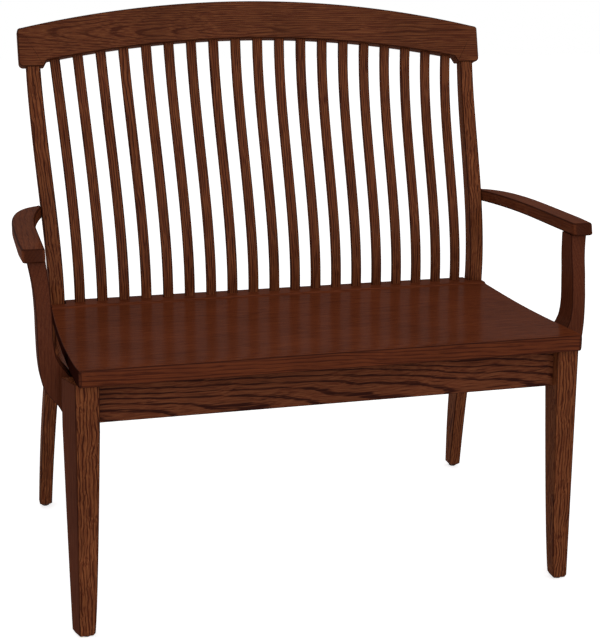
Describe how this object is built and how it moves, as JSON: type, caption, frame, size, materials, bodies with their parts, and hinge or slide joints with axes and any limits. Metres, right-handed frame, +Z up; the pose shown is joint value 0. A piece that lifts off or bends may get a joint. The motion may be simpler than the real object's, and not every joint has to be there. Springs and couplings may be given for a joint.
{
  "type": "deacons bench",
  "caption": "Small wooden bench with a scooped seat, a curved slatted back under an arched crest rail, and flat arms on bowed supports.",
  "frame": {"origin": "on the floor, under the middle of the bounding box", "axes": "+X to the sitter's left along the bench, which is the viewer's right from the front, +Y from the front edge of the seat towards the back, +Z up"},
  "size_m": [0.995, 0.6262, 0.9973],
  "materials": {
    "stained_oak": "dark red-brown stain under a semi-gloss clear coat",
    "plain_oak": "thin stain, no clear coat",
    "zinc_steel": "zinc plated",
    "dark_nylon": "matt moulded"
  },
  "bodies": {
    "root": {"seat": "stained_oak", "crest_rail": "stained_oak", "back_slat_01": "stained_oak", "back_slat_02": "stained_oak", "back_slat_03": "stained_oak", "back_slat_04": "stained_oak", "back_slat_05": "stained_oak", "back_slat_06": "stained_oak", "back_slat_07": "stained_oak", "back_slat_08": "stained_oak", "back_slat_09": "stained_oak", "back_slat_10": "stained_oak", "back_slat_11": "stained_oak", "back_slat_12": "stained_oak", "back_slat_13": "stained_oak", "back_slat_14": "stained_oak", "back_slat_15": "stained_oak", "back_slat_16": "stained_oak", "back_slat_17": "stained_oak", "back_slat_18": "stained_oak", "back_slat_19": "stained_oak", "rear_post_left": "stained_oak", "rear_post_right": "stained_oak", "front_leg_left": "stained_oak", "front_leg_right": "stained_oak", "front_apron": "stained_oak", "rear_apron": "stained_oak", "side_apron_left": "stained_oak", "side_apron_right": "stained_oak", "arm_left": "stained_oak", "arm_right": "stained_oak", "arm_support_left": "stained_oak", "arm_support_right": "stained_oak", "centre_rail": "plain_oak", "front_corner_block_left": "plain_oak", "front_corner_block_right": "plain_oak", "rear_corner_block_left": "plain_oak", "rear_corner_block_right": "plain_oak", "arm_dowel_left": "plain_oak", "arm_dowel_right": "plain_oak", "front_seat_screw_left": "zinc_steel", "front_seat_screw_right": "zinc_steel", "rear_seat_screw_left": "zinc_steel", "rear_seat_screw_right": "zinc_steel", "leg_bolt_left": "zinc_steel", "leg_bolt_right": "zinc_steel", "lower_support_bolt_left": "zinc_steel", "lower_support_bolt_right": "zinc_steel", "upper_support_bolt_left": "zinc_steel", "upper_support_bolt_right": "zinc_steel", "front_glide_left": "dark_nylon", "front_glide_right": "dark_nylon", "rear_glide_left": "dark_nylon", "rear_glide_right": "dark_nylon"}
  },
  "joints": []
}
